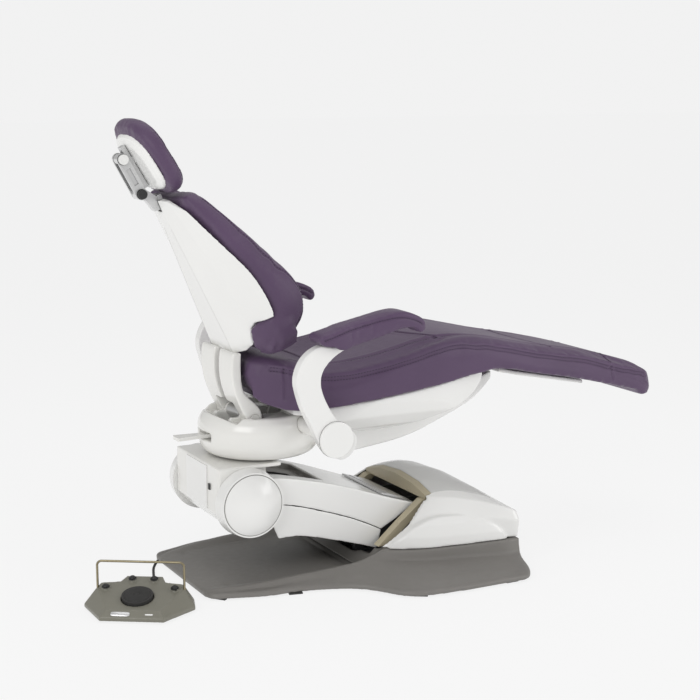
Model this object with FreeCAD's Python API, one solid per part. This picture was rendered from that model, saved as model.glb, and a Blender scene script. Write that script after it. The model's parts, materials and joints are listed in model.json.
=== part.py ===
# Reclining treatment chair with a swivelling seat, a lifting arm and a loose foot control.
# Millimetres, +X towards the feet, +Y the sitter's left, +Z up, floor at Z = 0.
# The origin is the centre of the four floor anchor holes, on the floor.
import math
import os
import FreeCAD
import Part

os.makedirs("parts", exist_ok=True)

# ---- driving dimensions ----
ANCHOR_X = 300.0
ANCHOR_Y = 150.0
ANCHOR_R = 6.5
PLATE_T = 8.0
LOW_PIVOT = (230.0, 85.0)
HIGH_PIVOT = (-239.0, 233.0)
LINK_OFFSET = 50.0
SHAFT_R = 14.0
RUN = 0.05
ARM_HALF_HEAD = 149.0
ARM_HALF_FOOT = 134.0
CHEEK_IN = 100.0
CHEEK_OUT = 112.0
RAM_BASE = (150.0, 36.0)
RAM_PIN = (-60.0, 170.0)
CAP_R = 81.0
CAP_RISE = 25.0
COLLAR_R = 91.0
HOUSING_HALF = 148.0
HOUSING_TOP = 328.0
SWIVEL_X = -165.0
TURRET_X = -137.0
TURRET_R = 165.0
TURRET_TOP = 446.0
RECLINE = (-195.0, 440.0)
CRANK = 60.0
BACK_LEAN = 24.3
BACK_FOOT = (-244.0, 624.0)
HEAD_LEAN = 31.0
HEAD_AT = (-443.0, 1093.0)
ARMREST_Y = 320.0
ARMREST_HUB = (-75.0, 421.0)
HEAD_LOW = (-461.0, 1031.0)
HEAD_HIGH = (-509.0, 1119.0)
PEDAL_AT = (-543.0, -165.0)
PEDAL_TURN = -32.0
PEDAL_FRONT_Z = 28.0
PEDAL_SLOPE = 0.24
GUARD_TOP = 120.0


# ---- helpers ----
def V(x, y, z):
    return FreeCAD.Vector(x, y, z)


def prism_xz(pts, y0, y1):
    wire = Part.makePolygon([V(x, y0, z) for x, z in pts + pts[:1]])
    return Part.Face(wire).extrude(V(0, y1 - y0, 0))


def prism_xy(pts, z0, z1):
    wire = Part.makePolygon([V(x, y, z0) for x, y in pts + pts[:1]])
    return Part.Face(wire).extrude(V(0, 0, z1 - z0))


def edges_of(runs, point):
    edges = []
    for run in runs:
        pts = [point(a, b) for a, b in run]
        if len(pts) == 2:
            edges.append(Part.makeLine(pts[0], pts[1]))
        else:
            curve = Part.BSplineCurve()
            curve.interpolate(pts)
            edges.append(curve.toShape())
    return Part.Wire(edges)


def shape_xz(runs, y0, y1):
    wire = edges_of(runs, lambda x, z: V(x, y0, z))
    return Part.Face(wire).extrude(V(0, y1 - y0, 0))


def shape_xy(runs, z0, z1):
    wire = edges_of(runs, lambda x, y: V(x, y, z0))
    return Part.Face(wire).extrude(V(0, 0, z1 - z0))


def box(x0, x1, y0, y1, z0, z1):
    return Part.makeBox(x1 - x0, y1 - y0, z1 - z0, V(x0, y0, z0))


def bar_y(at, r, y0, y1):
    return Part.makeCylinder(r, y1 - y0, V(at[0], y0, at[1]), V(0, 1, 0))


def bar(p, q, r):
    line = q - p
    return Part.makeCylinder(r, line.Length, p, line)


def mirrored(half):
    return half + [(-y, z) for y, z in reversed(half) if y > 0]


def loft_x(sections, ruled=False):
    wires = []
    for x, half in sections:
        ring = mirrored(half)
        wires.append(Part.makePolygon([V(x, y, z) for y, z in ring + ring[:1]]))
    return Part.makeLoft(wires, True, ruled, False, 2)


def fuse(shapes):
    return shapes[0].multiFuse(shapes[1:]).removeSplitter()


def save(name, shape):
    shape.exportStep("parts/" + name + ".step")
    print(name, len(shape.Solids), round(shape.Volume / 1000.0, 1), shape.isValid())


def lean(shape):
    turned = shape.copy()
    turned.rotate(V(0, 0, 0), V(0, 1, 0), -BACK_LEAN)
    turned.translate(V(BACK_FOOT[0], 0, BACK_FOOT[1]))
    return turned


def pedal(shape):
    turned = shape.copy()
    turned.rotate(V(0, 0, 0), V(0, 0, 1), PEDAL_TURN)
    turned.translate(V(PEDAL_AT[0], PEDAL_AT[1], 0))
    return turned


# ---- base ----
plate_half = [(-350, 160), (-330, 190), (-200, 225), (-40, 250), (40, 300), (110, 380),
              (440, 400), (470, 350), (480, 300)]
plate_ring = plate_half + [(x, -y) for x, y in reversed(plate_half)]
base_plate = prism_xy(plate_ring, 0, PLATE_T)
for sx in (-1, 1):
    for sy in (-1, 1):
        at = V(sx * ANCHOR_X, sy * ANCHOR_Y, -1)
        base_plate = base_plate.cut(Part.makeCylinder(ANCHOR_R, PLATE_T + 2, at))

# station, lip half width, ridge (y, z), band top (y, z), tray edge (y, z)
skirt = [(-374, 170, (140, 20), (128, 20), (118, 19)),
         (-352, 207, (172, 20), (162, 20), (150, 19)),
         (-290, 228, (194, 24), (182, 24), (165, 19)),
         (-228, 246, (206, 29), (194, 29), (172, 19)),
         (-54, 276, (216, 38), (204, 38), (176, 19)),
         (28, 328, (219, 42), (206, 42), (172, 19)),
         (98, 420, (230, 48), (207, 56), (168, 19)),
         (150, 436, (250, 46), (232, 84), (168, 60)),
         (204, 442, (272, 44), (262, 86), (168, 84)),
         (330, 445, (303, 43), (295, 90), (168, 88)),
         (439, 444, (330, 42), (317, 94), (168, 92)),
         (480, 400, (331, 42), (319, 95), (168, 93)),
         (497, 352, (325, 42), (317, 95), (168, 93))]
sections = []
for x, w, ridge, top, tray in skirt:
    mid = (0.5 * w + 0.5 * ridge[0] - 8, 0.25 * 20 + 0.75 * ridge[1] - 8)
    half = [(w, 4), (w, 14), (w - 9, 19), mid, ridge, top, tray]
    sections.append((x, half))
base_cover = loft_x(sections)
cover_plane = [(-500, -20), (-500, 60), (104, 60), (120, 67.5), (600, 82), (600, -20)]
base_cover = base_cover.common(prism_xz(cover_plane, -500, 500))
inner_plate = [(x - 6 if x < 0 else x + 6, y + 6) for x, y in plate_half]
inner_ring = inner_plate + [(x, -y) for x, y in reversed(inner_plate)]
base_cover = base_cover.cut(prism_xy(inner_ring, -1, PLATE_T + 1))
bay = [(112, -60), (112, 60), (150, 165), (200, 215), (300, 262), (440, 285), (470, 270),
       (470, -270), (440, -285), (300, -262), (200, -215), (150, -165)]
base_cover = base_cover.cut(prism_xy(bay, 5, 120))
for sy in (-1, 1):
    at = V(-ANCHOR_X, sy * ANCHOR_Y, 0)
    base_cover = base_cover.cut(Part.makeCylinder(14, 16, at))
room_side = [(282, 160), (168, 98), (153, 44), (92, 64), (0, 92), (-88, 114), (-150, 116), (-150, 200)]
room = prism_xz(room_side, -200, 200)
room_plan = [(-200, -152), (-150, -152), (300, -137), (300, 137), (-150, 152), (-200, 152)]
room = room.common(prism_xy(room_plan, 0, 400))
for turn in (0, -3.5, -7, -10):
    swept = room.copy()
    swept.rotate(V(LOW_PIVOT[0], 0, LOW_PIVOT[1]), V(0, 1, 0), turn)
    base_cover = base_cover.cut(swept)
save("base_cover", base_cover)
save("base_plate", base_plate.cut(base_cover))

pads = []
for x, y, turn in ((-340, 195, 52), (-150, 250, 12), (130, 415, 30), (400, 430, 0), (478, 372, 60)):
    for side in (-1, 1):
        pad = box(-18, 18, -6, 6, 0, 3.9)
        pad.rotate(V(0, 0, 0), V(0, 0, 1), -side * turn if x > 300 else side * turn)
        pad.translate(V(x, side * y, 0))
        pads.append(pad)

# pump cover, outer body and inner space, as half sections (y, z) along X
outer = []
inner = []
for x, wb, zb, ws, zs, zc in ((90, 175, 60, 118, 120, 150), (200, 240, 66, 160, 168, 194),
                              (286, 268, 70, 180, 186, 214), (340, 282, 72, 208, 186, 222),
                              (400, 294, 74, 246, 178, 213), (450, 304, 76, 286, 167, 193),
                              (485, 310, 77, 306, 157, 170), (498, 311, 77, 304, 150, 160)):
    mid = (0.5 * wb + 0.5 * ws + 14, 0.5 * zb + 0.5 * zs + 14)
    outer.append((x, [(wb, zb - 15), mid, (ws, zs), (0.55 * ws, zs + 0.72 * (zc - zs)), (0, zc)]))
    if x < 490:
        t = 5
        inner.append((x - (6 if x < 480 else 0),
                      [(wb - t, zb - 16), (mid[0] - t - 2, mid[1] - t - 2), (ws - t - 3, zs - t),
                       (0.55 * ws - t, zs + 0.72 * (zc - zs) - t), (0, zc - t)]))
cover_body = loft_x(outer)
cover_space = loft_x(inner)
wide = []
for x, w, z in ((120, 190, 150), (160, 236, 150), (220, 268, 150), (300, 290, 150),
                (380, 306, 150), (450, 317, 150), (486, 319, 150)):
    wide.append((x, [(w, 50), (w - 3, 100), (w - 16, z - 22), (w - 44, z)]))
fender_wide = loft_x(wide)
arch = shape_xz([[(138, 50), (152, 82), (190, 116), (240, 138), (310, 148), (380, 140),
                  (430, 116), (460, 84), (468, 50)], [(468, 50), (138, 50)]], -340, 340)
fender = fender_wide.common(arch)
pump_outer = cover_body.fuse(fender)
pump_shell = pump_outer.cut(cover_space)
seat_plane = [(0, 64.5), (120, 68.1), (600, 82.6), (600, 300), (0, 300)]
seat_plane = prism_xz(seat_plane, -400, 400)
mouth = prism_xz([(60, 17), (60, 400), (284, 400), (284, 177), (275, 177)], -400, 400)
trim_side = [(60, 17), (275, 176), (284, 177), (284, 400), (304, 400), (304, 172), (84, 12)]
trim_zone = prism_xz(trim_side, -400, 400)


def slot_room(grow):
    pts = [V(90, y, z) for y, z in ((-143 - grow, 177 + grow), (-150 - grow, 120), (-166 - grow, 40),
                                    (166 + grow, 40), (150 + grow, 120), (143 + grow, 177 + grow))]
    return Part.Face(Part.makePolygon(pts + pts[:1])).extrude(V(260, 0, 0))


top_band = box(270, 320, -169, 169, 150, 300)
trim_zone = trim_zone.common(slot_room(26).fuse(top_band))
trim = pump_outer.common(trim_zone).common(seat_plane).cut(slot_room(0))
pump_cover = pump_shell.common(seat_plane).cut(mouth).cut(trim_zone).cut(slot_room(0).common(mouth))
save("pump_cover", pump_cover)
save("pump_cover_trim", trim)

motor = Part.makeCylinder(46, 150, V(395, -75, 62), V(0, 1, 0))
motor = motor.fuse(box(355, 435, -60, 60, PLATE_T + 0.2, 30))
motor = motor.fuse(box(340, 352, -40, 40, PLATE_T + 0.2, 120)).fuse(box(350, 358, -30, 30, 30, 90))
motor = motor.fuse(box(320, 455, -235, -95, PLATE_T + 0.2, 120)).fuse(box(380, 410, -100, -70, 40, 80))
save("pump_unit", motor.removeSplitter())
save("control_box", box(320, 455, 95, 235, PLATE_T + 0.2, 105))

# pedestal that carries the lower pivots
ear = [(190, PLATE_T + 0.2), (275, PLATE_T + 0.2), (262, 95), (246, 152), (214, 152), (200, 95)]
pedestal = [prism_xz(ear, -50, -28), prism_xz(ear, 28, 50)]
pedestal.append(box(185, 280, -60, 60, PLATE_T + 0.2, 20))
link_low = (LOW_PIVOT[0], LOW_PIVOT[1] + LINK_OFFSET)
pedestal.append(bar_y(link_low, 8, -40, 40))
pedestal = fuse(pedestal).cut(bar_y(LOW_PIVOT, SHAFT_R + RUN, -80, 80))
save("lower_shaft", bar_y(LOW_PIVOT, SHAFT_R, -118, 118))
ram_foot = fuse([prism_xz([(132, PLATE_T + 0.2), (168, PLATE_T + 0.2), (162, 46), (138, 46)], 27, 39),
                 prism_xz([(132, PLATE_T + 0.2), (168, PLATE_T + 0.2), (162, 46), (138, 46)], -39, -27),
                 bar_y(RAM_BASE, 8, -33, 33)])
save("pivot_pedestal", fuse([pedestal, ram_foot, box(160, 190, -39, 39, PLATE_T + 0.2, 18)]))

# ---- lift cylinder and rod ----
ram_a = V(RAM_BASE[0], 0, RAM_BASE[1])
ram_b = V(RAM_PIN[0], 0, RAM_PIN[1])
ram_dir = (ram_b - ram_a).normalize()
ram_len = (ram_b - ram_a).Length
barrel = bar_y(RAM_BASE, 17, -24, 24).fuse(bar(ram_a + ram_dir * 14, ram_a + ram_dir * 168, 20))
barrel = barrel.cut(bar_y(RAM_BASE, 8 + RUN, -40, 40))
barrel = barrel.cut(bar(ram_a + ram_dir * 46, ram_a + ram_dir * 180, 10 + RUN))
save("lift_cylinder", barrel.removeSplitter())
rod = bar(ram_a + ram_dir * 70, ram_a + ram_dir * (ram_len - 20), 10)
rod = rod.fuse(bar_y(RAM_PIN, 24, -14, 14)).cut(bar_y(RAM_PIN, 16.5, -40, 40))
save("lift_rod", rod.removeSplitter())

# ---- parallel link ----
link_high = (HIGH_PIVOT[0], HIGH_PIVOT[1] + LINK_OFFSET)
dx = link_high[0] - link_low[0]
dz = link_high[1] - link_low[1]
n = math.hypot(dx, dz)
ox = -dz / n * 10
oz = dx / n * 10
strip = [(link_low[0] + ox, link_low[1] + oz), (link_high[0] + ox, link_high[1] + oz),
         (link_high[0] - ox, link_high[1] - oz), (link_low[0] - ox, link_low[1] - oz)]
link = fuse([prism_xz(strip, -12, 12), bar_y(link_low, 16, -12, 12), bar_y(link_high, 18, -12, 12)])
link = link.cut(bar_y(link_low, 8 + RUN, -20, 20)).cut(bar_y(link_high, 10.5, -20, 20))
save("parallel_link", link)

# ---- lift arm ----
arm_top = [(-200, 288), (-150, 285), (-87, 273), (47, 237), (154, 199), (279, 158)]
arm_low = [(151, 48), (93, 68), (1, 96), (-88, 118), (-150, 120)]
parting = [(-190, 214), (-137, 211), (-31, 182), (59, 150), (165, 100)]
plan = [(-320, -ARM_HALF_HEAD), (-150, -ARM_HALF_HEAD), (300, -ARM_HALF_FOOT),
        (300, ARM_HALF_FOOT), (-150, ARM_HALF_HEAD), (-320, ARM_HALF_HEAD)]
t = 4
plan_in = [(x, y - t if y > 0 else y + t) for x, y in plan]
upper = shape_xz([arm_top, [(279, 158), (165, 100)], list(reversed(parting)), [(-190, 214), (-200, 288)]],
                 -200, 200)
lower = shape_xz([[(x, z - 0.8) for x, z in parting], [(165, 99.2), (151, 48)], arm_low,
                  [(-150, 120), (-190, 213.2)]], -200, 200)
outline = prism_xy(plan, 0, 400)
hollow = prism_xy(plan_in, 0, 400)
roof = shape_xz([[(x, z - t) for x, z in arm_top], [(279, 154), (279, 20)], [(279, 20), (-200, 20)],
                 [(-200, 20), (-200, 284)]], -200, 200)
hub_room = bar_y(HIGH_PIVOT, 76, -200, 200)
recess = box(-400, 3, -99, 99, 0, 400)
upper = upper.common(outline).cut(hollow.common(roof)).cut(recess)
hub_ring = bar_y(HIGH_PIVOT, 68, ARM_HALF_HEAD - 8, ARM_HALF_HEAD)
hub_ring = hub_ring.fuse(hub_ring.mirror(V(0, 0, 0), V(0, 1, 0)))
bridge = []
for side in (1, -1):
    y0 = ARM_HALF_HEAD - 8 if side > 0 else -ARM_HALF_HEAD
    bridge.append(prism_xz([(-239, 300), (-180, 288), (-150, 285), (-150, 212), (-200, 214), (-239, 216)],
                           y0, y0 + 8).common(bar_y(HIGH_PIVOT, 90, -200, 200)))
pieces = [upper, hub_ring] + [b.common(box(-330, 0, -200, 200, 214, 286)) for b in bridge]
upper = fuse(pieces).cut(bar_y(HIGH_PIVOT, SHAFT_R + 6, -200, 200))
save("arm_cover_upper", upper)
lower = lower.common(outline).cut(hollow).cut(hub_room)
save("arm_cover_lower", lower)
liner = box(-128, 1, -97, 97, 236, 239).cut(box(-130, -46, -15, 15, 230, 240))
save("arm_recess_liner", liner)
strips = prism_xz([(176, 192.5), (262, 163.4), (264, 167), (178, 196.5)], -118, 118)
strips = strips.fuse(prism_xz([(196, 189), (250, 171), (250.8, 173.2), (196.8, 191.3)], -112, 112))
save("arm_end_plate", strips.removeSplitter())

cheek_runs = [[(-215, 284), (-150, 274), (-60, 250), (50, 222), (150, 186), (238, 142)],
              [(238, 142), (262, 100)], [(262, 100), (248, 60)], [(248, 60), (190, 62)],
              [(190, 62), (90, 82), (0, 106), (-90, 130), (-170, 150), (-215, 180)],
              [(-215, 180), (-215, 284)]]
cheeks = []
for y0 in (-CHEEK_OUT, CHEEK_IN):
    plate = shape_xz(cheek_runs, y0, y0 + CHEEK_OUT - CHEEK_IN)
    plate = plate.fuse(bar_y(HIGH_PIVOT, 60, y0, y0 + CHEEK_OUT - CHEEK_IN))
    plate = plate.fuse(bar_y(LOW_PIVOT, 36, y0, y0 + CHEEK_OUT - CHEEK_IN))
    cheeks.append(plate)
cheeks.append(bar_y((-120, 180), 14, -105, 105))
cheeks.append(bar_y(RAM_PIN, 9, -105, 105))
lift_arm = fuse(cheeks)
lift_arm = lift_arm.cut(bar_y(LOW_PIVOT, SHAFT_R + RUN, -200, 200))
lift_arm = lift_arm.cut(bar_y(HIGH_PIVOT, SHAFT_R + RUN, -200, 200))
save("lift_arm", lift_arm)

collars = []
caps = []
for side in (-1, 1):
    foot = V(HIGH_PIVOT[0], side * (ARM_HALF_HEAD + 0.2), HIGH_PIVOT[1])
    collar = Part.makeCone(COLLAR_R, COLLAR_R - 5, 38, foot, V(0, side, 0))
    collars.append(collar)
    y0 = ARM_HALF_HEAD + 38.4
    ball_r = (CAP_R ** 2 + CAP_RISE ** 2) / (2 * CAP_RISE)
    ball = Part.makeSphere(ball_r, V(HIGH_PIVOT[0], side * (y0 + CAP_RISE - ball_r), HIGH_PIVOT[1]))
    reach = sorted((side * y0, side * 300))
    dome = ball.common(bar_y(HIGH_PIVOT, 100, reach[0], reach[1]))
    caps.append(dome)
save("pivot_collars", Part.makeCompound(collars))
save("pivot_caps", Part.makeCompound(caps))

# ---- upper housing ----
ax = HIGH_PIVOT[0]
az = HIGH_PIVOT[1]
core = [(-318, 318), (-318, 204), (-291, 173), (-246, 137), (-200, 146), (-160, 200), (-147, 233),
        (-149, 268), (-160, 292), (-160, 318)]
housing = [prism_xz(core, -96, 96), box(-318, -140, -HOUSING_HALF, HOUSING_HALF, 317.9, HOUSING_TOP)]
wrap = [(-318, 318), (-318, 204), (-291, 173), (-279, 163.5), (ax, az), (ax + 20, 318)]
ring = bar_y(HIGH_PIVOT, 72, -200, 200)
for y0, y1 in ((-HOUSING_HALF, -95.9), (95.9, HOUSING_HALF)):
    housing.append(prism_xz(wrap, y0, y1).cut(ring))
housing = fuse(housing)
housing = housing.cut(bar_y(HIGH_PIVOT, SHAFT_R + RUN, -200, 200))
link_bay = [(-275, 262), (-238, 262), (-151, 160), (-120, 124), (-120, 309), (-275, 309)]
housing = housing.cut(prism_xz(link_bay, -15, 15))
housing = housing.cut(Part.makeCylinder(28 + RUN, 40, V(SWIVEL_X, 0, 300)))
housing = housing.fuse(bar_y(link_high, 7, -16, 16)).removeSplitter()
save("upper_housing", housing)
save("upper_shaft", bar_y(HIGH_PIVOT, SHAFT_R, -118, 118))
save("housing_panel", box(-321, -318.2, -70, 70, 206, 322))
save("housing_clip", box(-322, -318.2, -92, -82, 262, 278))
ring = Part.makeCylinder(98, 3.4, V(SWIVEL_X, 0, HOUSING_TOP + 0.2))
ring = ring.cut(Part.makeCylinder(62, 20, V(SWIVEL_X, 0, HOUSING_TOP - 5)))
save("swivel_bearing", ring)
save("swivel_post", Part.makeCylinder(28, 46, V(SWIVEL_X, 0, 301)))

# ---- turret ----
curve = Part.BSplineCurve()
curve.interpolate([V(126, 0, 332), V(148, 0, 339), V(161, 0, 360), V(TURRET_R, 0, 392), V(162, 0, 420),
                   V(151, 0, 438)])
rim = Part.BSplineCurve()
rim.interpolate([V(151, 0, 438), V(146, 0, 444), V(138, 0, TURRET_TOP)])
wire = Part.Wire([Part.makeLine(V(0, 0, 332), V(126, 0, 332)), curve.toShape(), rim.toShape(),
                  Part.makeLine(V(138, 0, TURRET_TOP), V(0, 0, TURRET_TOP)),
                  Part.makeLine(V(0, 0, TURRET_TOP), V(0, 0, 332))])
turret = Part.Face(wire).revolve(V(0, 0, 0), V(0, 0, 1), 360)
turret.translate(V(TURRET_X, 0, 0))
turret = turret.cut(Part.makeCylinder(128, 40, V(TURRET_X, 0, 438)))
turret = turret.cut(Part.makeCylinder(28 + RUN, 16, V(SWIVEL_X, 0, 331)))
turret = turret.cut(box(-262, 0, -42, 42, 354, 500))
turret = turret.cut(box(-30, 60, -26, 26, 352, 414))
turret = turret.cut(box(-330, -212, -42, 42, 376, 398))
strap_bay = [(-300, 500), (-300, 457), (-285, 447.5), (-270, 441), (-250, 433), (-230, 426.8), (-215, 421.4),
             (-205, 414), (-160, 414), (-150, 500)]
for y0 in (-108, 57.5):
    turret = turret.cut(prism_xz(strap_bay, y0, y0 + 50.5))
rear_dip = [(-300, 500), (-300, 457), (-285, 447), (-270, 440.5), (-243, 430), (-243, 500)]
turret = turret.cut(prism_xz(rear_dip, -108, 108))
for y0 in (-56, 43.5):
    ear = prism_xz([(-225, 420), (-165, 420), (-176, 442), (-214, 442)], y0, y0 + 12.5)
    turret = turret.fuse(ear.fuse(bar_y(RECLINE, 19, y0, y0 + 12.5)))
turret = turret.cut(bar_y(RECLINE, 12 + RUN, -126, 126))
turret = turret.cut(bar_y(ARMREST_HUB, 20 + RUN, -200, 200))
BRAKE_X = -233
turret = turret.fuse(Part.makeCylinder(6, 23, V(BRAKE_X, 0, 375.5)))
turret = turret.fuse(box(-249, -217, -43, 43, 365, 376))
save("turret_housing", turret.removeSplitter())
save("back_shaft", bar_y(RECLINE, 12, -106, 106))
save("armrest_beam", Part.makeCompound([bar_y(ARMREST_HUB, 20, -302, -30), bar_y(ARMREST_HUB, 20, 30, 302)]))
brake = prism_xy([(-226, -15), (-226, 15), (-262, 15), (-300, 14), (-376, 21), (-379, 12), (-379, -12),
                  (-376, -21), (-300, -14), (-262, -15)], 382, 391)
brake = brake.fuse(Part.makeCylinder(15, 16, V(BRAKE_X, 0, 378.5)))
brake = brake.cut(Part.makeCylinder(6 + RUN, 30, V(BRAKE_X, 0, 370)))
save("swivel_brake", brake.removeSplitter())

keel_low = [(-12, 352), (40, 332), (87, 327), (133, 331), (249, 348), (353, 380), (458, 419), (530, 462)]
keel = shape_xz([keel_low, [(530, 462), (548, 479)], [(548, 479), (549, 500)], [(549, 500), (430, 470)],
                 [(430, 470), (120, 424)], [(120, 424), (-12, 404)], [(-12, 404), (-12, 352)]], -122, 122)
keel_plan = [(-12, -114), (60, -122), (300, -120), (480, -104), (560, -84), (560, 84), (480, 104),
             (300, 120), (60, 122), (-12, 114)]
keel = keel.common(prism_xy(keel_plan, 200, 600))
keel = keel.cut(box(-30, 165, -26, 26, 346, 398)).cut(box(-30, 66, -26, 26, 346, 430))
turret_room = Part.makeCylinder(TURRET_R + 0.6, 148, V(TURRET_X, 0, 300))
keel = keel.cut(turret_room)
keel = keel.fuse(bar_y((130, 372), 8, -27, 27))
save("seat_keel", keel.removeSplitter())

pan_low = [(20, 416), (51, 402), (84, 391), (157, 389), (257, 407), (339, 434), (408, 470), (440, 506)]
seat_low = [(-232, 520), (-190, 490), (-148, 475), (-50, 477), (50, 485), (164, 496), (289, 511), (418, 530),
            (471, 534), (517, 530), (585, 515), (678, 495), (722, 486), (839, 458), (1010, 414)]
pan = shape_xz([pan_low, [(440, 506), (446, 530)],
                [(446, 530), (289, 509.5), (164, 494.5), (50, 483.5), (-50, 475.5)],
                [(-50, 475.5), (-110, 474)], [(-110, 474), (-110, 452)], [(-110, 452), (-40, 452)],
                [(-40, 452), (20, 416)]], -240, 240)
pan_end = [(238, 535), (236, 480), (222, 438), (196, 406), (160, 388), (0, 380)]
pan_wire = Part.makePolygon([V(-200, y, z) for y, z in mirrored(pan_end) + pan_end[:1]])
pan = pan.common(Part.Face(pan_wire).extrude(V(800, 0, 0)))
pan_plan = [(-120, -150), (-60, -212), (100, -236), (300, -232), (450, -205), (450, 205), (300, 232),
            (100, 236), (-60, 212), (-120, 150)]
pan = pan.common(prism_xy(pan_plan, 200, 600))
keel_room = prism_xz([(-120, 300), (600, 300), (600, 514.5), (549, 500.5), (430, 470.5), (120, 424.5),
                      (-12, 404.5), (-120, 390)], -123, 123)
pan = pan.cut(keel_room).cut(turret_room).cut(box(-120, 40, -26, 26, 380, 416))

seat_top = [(-240, 572), (-228, 592), (-205, 599), (-60, 578), (60, 584), (163, 602), (288, 626),
            (379, 623), (482, 606), (618, 575), (828, 534), (983, 491), (1062, 469)]
seat = shape_xz([seat_top, [(1062, 469), (1082, 450), (1082, 423), (1066, 401), (1010, 414)],
                 list(reversed(seat_low)), [(-232, 520), (-240, 545), (-240, 572)]], -260, 260)
seat_edge = [(-236, 100), (-215, 126), (-181, 162), (-130, 205), (-60, 240), (20, 250), (140, 251),
             (300, 248), (430, 240), (600, 226), (800, 200), (980, 172), (1052, 158), (1092, 118)]
seat_ring = [seat_edge, [(1092, 118), (1092, -118)], [(x, -y) for x, y in reversed(seat_edge)],
             [(-236, -100), (-236, 100)]]
seat = seat.common(shape_xy(seat_ring, 300, 700))
seat = seat.cut(prism_xz([(-270, 400), (-150, 400), (-150, 492), (-168, 508), (-196, 512), (-213, 536),
                          (-222, 562), (-222, 596), (-270, 596)], -124, 124))
save("seat_cushion", seat)
save("seat_pan", pan.cut(seat))
panel = shape_xz([[(545, 503), (577, 496), (680, 475), (857, 436)], [(857, 436), (858, 448)],
                  [(858, 448), (680, 486), (577, 507.5), (547, 514)], [(547, 514), (545, 503)]], -150, 150)
panel_plan = [(540, -128), (600, -142), (780, -132), (850, -112), (860, -90), (860, 90), (850, 112),
              (780, 132), (600, 142), (540, 128)]
save("legrest_panel", panel.common(prism_xy(panel_plan, 300, 700)))

# ---- back tilt cylinder ----
tilt_a = V(130, 0, 372)
tilt_b = V(RECLINE[0], 0, RECLINE[1] - CRANK)
tilt_dir = (tilt_b - tilt_a).normalize()
tilt_len = (tilt_b - tilt_a).Length
barrel = bar_y((130, 372), 15, -18, 18).fuse(bar(tilt_a + tilt_dir * 12, tilt_a + tilt_dir * 165, 16))
barrel = barrel.cut(bar_y((130, 372), 8 + RUN, -40, 40))
barrel = barrel.cut(bar(tilt_a + tilt_dir * 30, tilt_a + tilt_dir * 180, 8 + RUN))
save("back_cylinder", barrel.removeSplitter())
pin = (RECLINE[0], RECLINE[1] - CRANK)
rod = bar(tilt_a + tilt_dir * 100, tilt_a + tilt_dir * (tilt_len - 16), 8)
rod = rod.fuse(bar_y(pin, 20, -7, 7)).cut(bar_y(pin, 14, -40, 40))
save("back_rod", rod.removeSplitter())

# ---- backrest ----
# station up the back, half width, side height and front height off the rear face
stations = [(-30, 168, 38, 68), (-14, 196, 44, 96), (8, 216, 52, 134), (40, 229, 78, 172),
            (76, 234, 91, 187), (130, 234, 93, 183), (190, 226, 86, 162), (270, 204, 62, 130),
            (340, 174, 42, 101), (395, 148, 26, 78), (428, 128, 20, 58)]
shell_half = [(-26, 90, 0, 68), (0, 130, 30, 72), (40, 200, 62, 68), (76, 230, 88, 64),
              (130, 231, 91, 58), (190, 223, 84, 50), (270, 200, 60, 40), (340, 168, 38, 30),
              (395, 138, 24, 20), (428, 110, 16, 14)]
pad_rings = []
for u, w, side_n, front_n in stations:
    bulge = side_n + 0.62 * (front_n - side_n)
    pts = [(w - 3, side_n + 1), (w + 3, 0.5 * (side_n + bulge)), (w - 4, bulge), (w - 24, front_n - 3),
           (w - 52, front_n)]
    ring = pts + [(-y, nn) for y, nn in reversed(pts)]
    pad_rings.append(Part.makePolygon([V(nn, y, u) for y, nn in ring + ring[:1]]))
pad = Part.makeLoft(pad_rings, True, False, False, 2)
shell_rings = []
for u, w, side_n, spine in shell_half:
    pts = [(w, side_n), (0.5 * (w + spine), 0.42 * side_n), (spine, 0)]
    ring = pts + [(-y, nn) for y, nn in reversed(pts)]
    shell_rings.append(Part.makePolygon([V(nn, y, u) for y, nn in ring + ring[:1]]))
shell = Part.makeLoft(shell_rings, True, False, False, 2)
outline = [(0, -10), (84, -10), (130, -7), (146, 8), (152, 36), (157, 54), (171, 64), (200, 66),
           (224, 70), (240, 86), (240, 160), (228, 220), (204, 290), (172, 345), (128, 396),
           (60, 424), (0, 428)]
outline = outline + [(-y, u) for y, u in reversed(outline) if y > 0]
outline = [V(-50, y, u) for y, u in outline]
shell = shell.common(Part.Face(Part.makePolygon(outline + outline[:1])).extrude(V(400, 0, 0)))
shell = shell.cut(pad)
lobes = []
lobe_plan = [(148, -24), (149, 12), (154, 37), (160, 56), (172, 67), (200, 69), (228, 75),
             (235, 40), (229, 4), (205, -22), (176, -30)]
slab = [(134, 25), (238, 82), (238, 130), (134, 100)]
for side in (-1, 1):
    pts = [V(-10, side * y, u) for y, u in lobe_plan]
    lobe = Part.Face(Part.makePolygon(pts + pts[:1])).extrude(V(160, 0, 0))
    pts = [V(nn, side * y, -60) for y, nn in slab]
    lobes.append(lobe.common(Part.Face(Part.makePolygon(pts + pts[:1])).extrude(V(0, 0, 200))))
pad = pad.fuse(lobes[0]).fuse(lobes[1]).removeSplitter()
shell = shell.cut(pad)
shell = shell.cut(Part.makeBox(12, 46, 400, V(4, -23, 200))).cut(Part.makeBox(40, 28, 60, V(-24, -14, 394)))
pad = pad.cut(Part.makeBox(30, 60, 80, V(-10, -30, 380)))
shell_body = lean(shell)
save("backrest_shell", shell_body)
save("backrest_cushion", lean(pad))

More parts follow.
